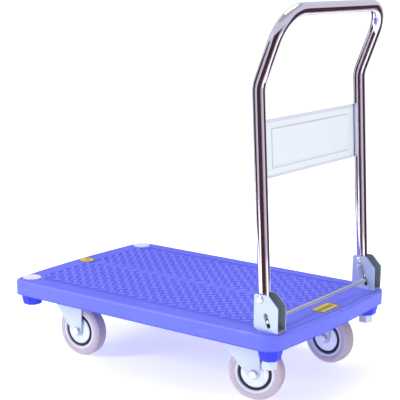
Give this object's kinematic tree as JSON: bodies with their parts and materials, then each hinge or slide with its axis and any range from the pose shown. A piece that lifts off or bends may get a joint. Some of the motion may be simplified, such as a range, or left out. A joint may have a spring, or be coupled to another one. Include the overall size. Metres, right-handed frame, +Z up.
{
  "type": "folding platform cart",
  "caption": "Folding platform cart with a moulded plastic deck, a hinged chromed tube handle with a sheet panel, and rigid front and swivelling rear casters.",
  "frame": {"origin": "on the floor, under the middle of the deck", "axes": "+Z up, +X towards the handle end, +Y completes the right-handed frame (the operator's right when standing at the handle end and facing the deck)"},
  "size_m": [0.74, 0.48, 0.8254],
  "materials": {
    "deck_plastic": "moulded, satin",
    "label_yellow": "printed vinyl",
    "plug_white": "moulded, satin",
    "zinc_steel": "bright zinc plate",
    "chrome_tube": "polished chrome plate",
    "panel_steel": "satin zinc sheet",
    "tyre_grey": "non-marking grey rubber",
    "hub_grey": "moulded nylon",
    "cover_zinc": "pressed zinc-plated sheet",
    "black_seal": "black moulded plastic",
    "spring_steel": "bright wire"
  },
  "bodies": {
    "root": {"bracket_nuts": "zinc_steel", "deck": "deck_plastic", "end_label": "label_yellow", "front_left_axle_bolt": "zinc_steel", "front_left_axle_nut": "zinc_steel", "front_left_axle_sleeve": "zinc_steel", "front_left_fork": "zinc_steel", "front_right_axle_bolt": "zinc_steel", "front_right_axle_nut": "zinc_steel", "front_right_axle_sleeve": "zinc_steel", "front_right_fork": "zinc_steel", "left_bracket": "zinc_steel", "mount_bolts": "zinc_steel", "pivot_rivets": "zinc_steel", "plugs": "plug_white", "rear_left_ball_race": "zinc_steel", "rear_left_king_pin": "zinc_steel", "rear_left_top_plate": "zinc_steel", "rear_right_ball_race": "zinc_steel", "rear_right_king_pin": "zinc_steel", "rear_right_top_plate": "zinc_steel", "return_springs": "spring_steel", "right_bracket": "zinc_steel", "round_label": "label_yellow", "spring_anchor_pins": "zinc_steel"},
    "handle": {"handle_tube": "chrome_tube", "handle_panel": "panel_steel", "panel_rivets": "zinc_steel", "pivot_bushes": "black_seal"},
    "release_bar": {"release_bar": "chrome_tube", "bar_collars": "zinc_steel"},
    "front_left_wheel": {"front_left_tyre": "tyre_grey", "front_left_wheel_core": "hub_grey", "front_left_bearings": "spring_steel", "front_left_hub_covers": "cover_zinc", "front_left_seal_rings": "black_seal"},
    "front_right_wheel": {"front_right_tyre": "tyre_grey", "front_right_wheel_core": "hub_grey", "front_right_bearings": "spring_steel", "front_right_hub_covers": "cover_zinc", "front_right_seal_rings": "black_seal"},
    "rear_left_wheel": {"rear_left_tyre": "tyre_grey", "rear_left_wheel_core": "hub_grey", "rear_left_bearings": "spring_steel", "rear_left_hub_covers": "cover_zinc", "rear_left_seal_rings": "black_seal"},
    "rear_left_caster": {"rear_left_fork": "zinc_steel", "rear_left_axle_sleeve": "zinc_steel", "rear_left_axle_bolt": "zinc_steel", "rear_left_axle_nut": "zinc_steel"},
    "rear_right_wheel": {"rear_right_tyre": "tyre_grey", "rear_right_wheel_core": "hub_grey", "rear_right_bearings": "spring_steel", "rear_right_hub_covers": "cover_zinc", "rear_right_seal_rings": "black_seal"},
    "rear_right_caster": {"rear_right_fork": "zinc_steel", "rear_right_axle_sleeve": "zinc_steel", "rear_right_axle_bolt": "zinc_steel", "rear_right_axle_nut": "zinc_steel"}
  },
  "joints": [
    {"name": "handle_fold", "type": "hinge", "parent": "root", "child": "handle", "pos_m": [0.3135, 0, 0.2405], "axis": [0, 1, 0], "range_deg": [-86.7, 0]},
    {"name": "bar_release", "type": "slide", "parent": "root", "child": "release_bar", "axis": [0.3338, 0, -0.9426], "range_m": [0, 0.0085], "stiffness_N_per_m": 1500, "springref_m": -0.004, "deforming": ["return_springs"]},
    {"name": "rear_left_swivel", "type": "hinge", "parent": "root", "child": "rear_left_caster", "pos_m": [0.229, -0.156, 0.06], "axis": [0, 0, 1], "continuous": true},
    {"name": "rear_right_swivel", "type": "hinge", "parent": "root", "child": "rear_right_caster", "pos_m": [0.229, 0.156, 0.06], "axis": [0, 0, 1], "continuous": true},
    {"name": "front_left_roll", "type": "hinge", "parent": "root", "child": "front_left_wheel", "pos_m": [-0.218, -0.15, 0.06], "axis": [0, 1, 0], "continuous": true},
    {"name": "front_right_roll", "type": "hinge", "parent": "root", "child": "front_right_wheel", "pos_m": [-0.218, 0.15, 0.06], "axis": [0, 1, 0], "continuous": true},
    {"name": "rear_left_roll", "type": "hinge", "parent": "rear_left_caster", "child": "rear_left_wheel", "pos_m": [0.26296, -0.14753, 0.06], "axis": [-0.2419, 0.9703, 0], "continuous": true},
    {"name": "rear_right_roll", "type": "hinge", "parent": "rear_right_caster", "child": "rear_right_wheel", "pos_m": [0.26387, 0.15295, 0.06], "axis": [0.0872, 0.9962, 0], "continuous": true}
  ]
}
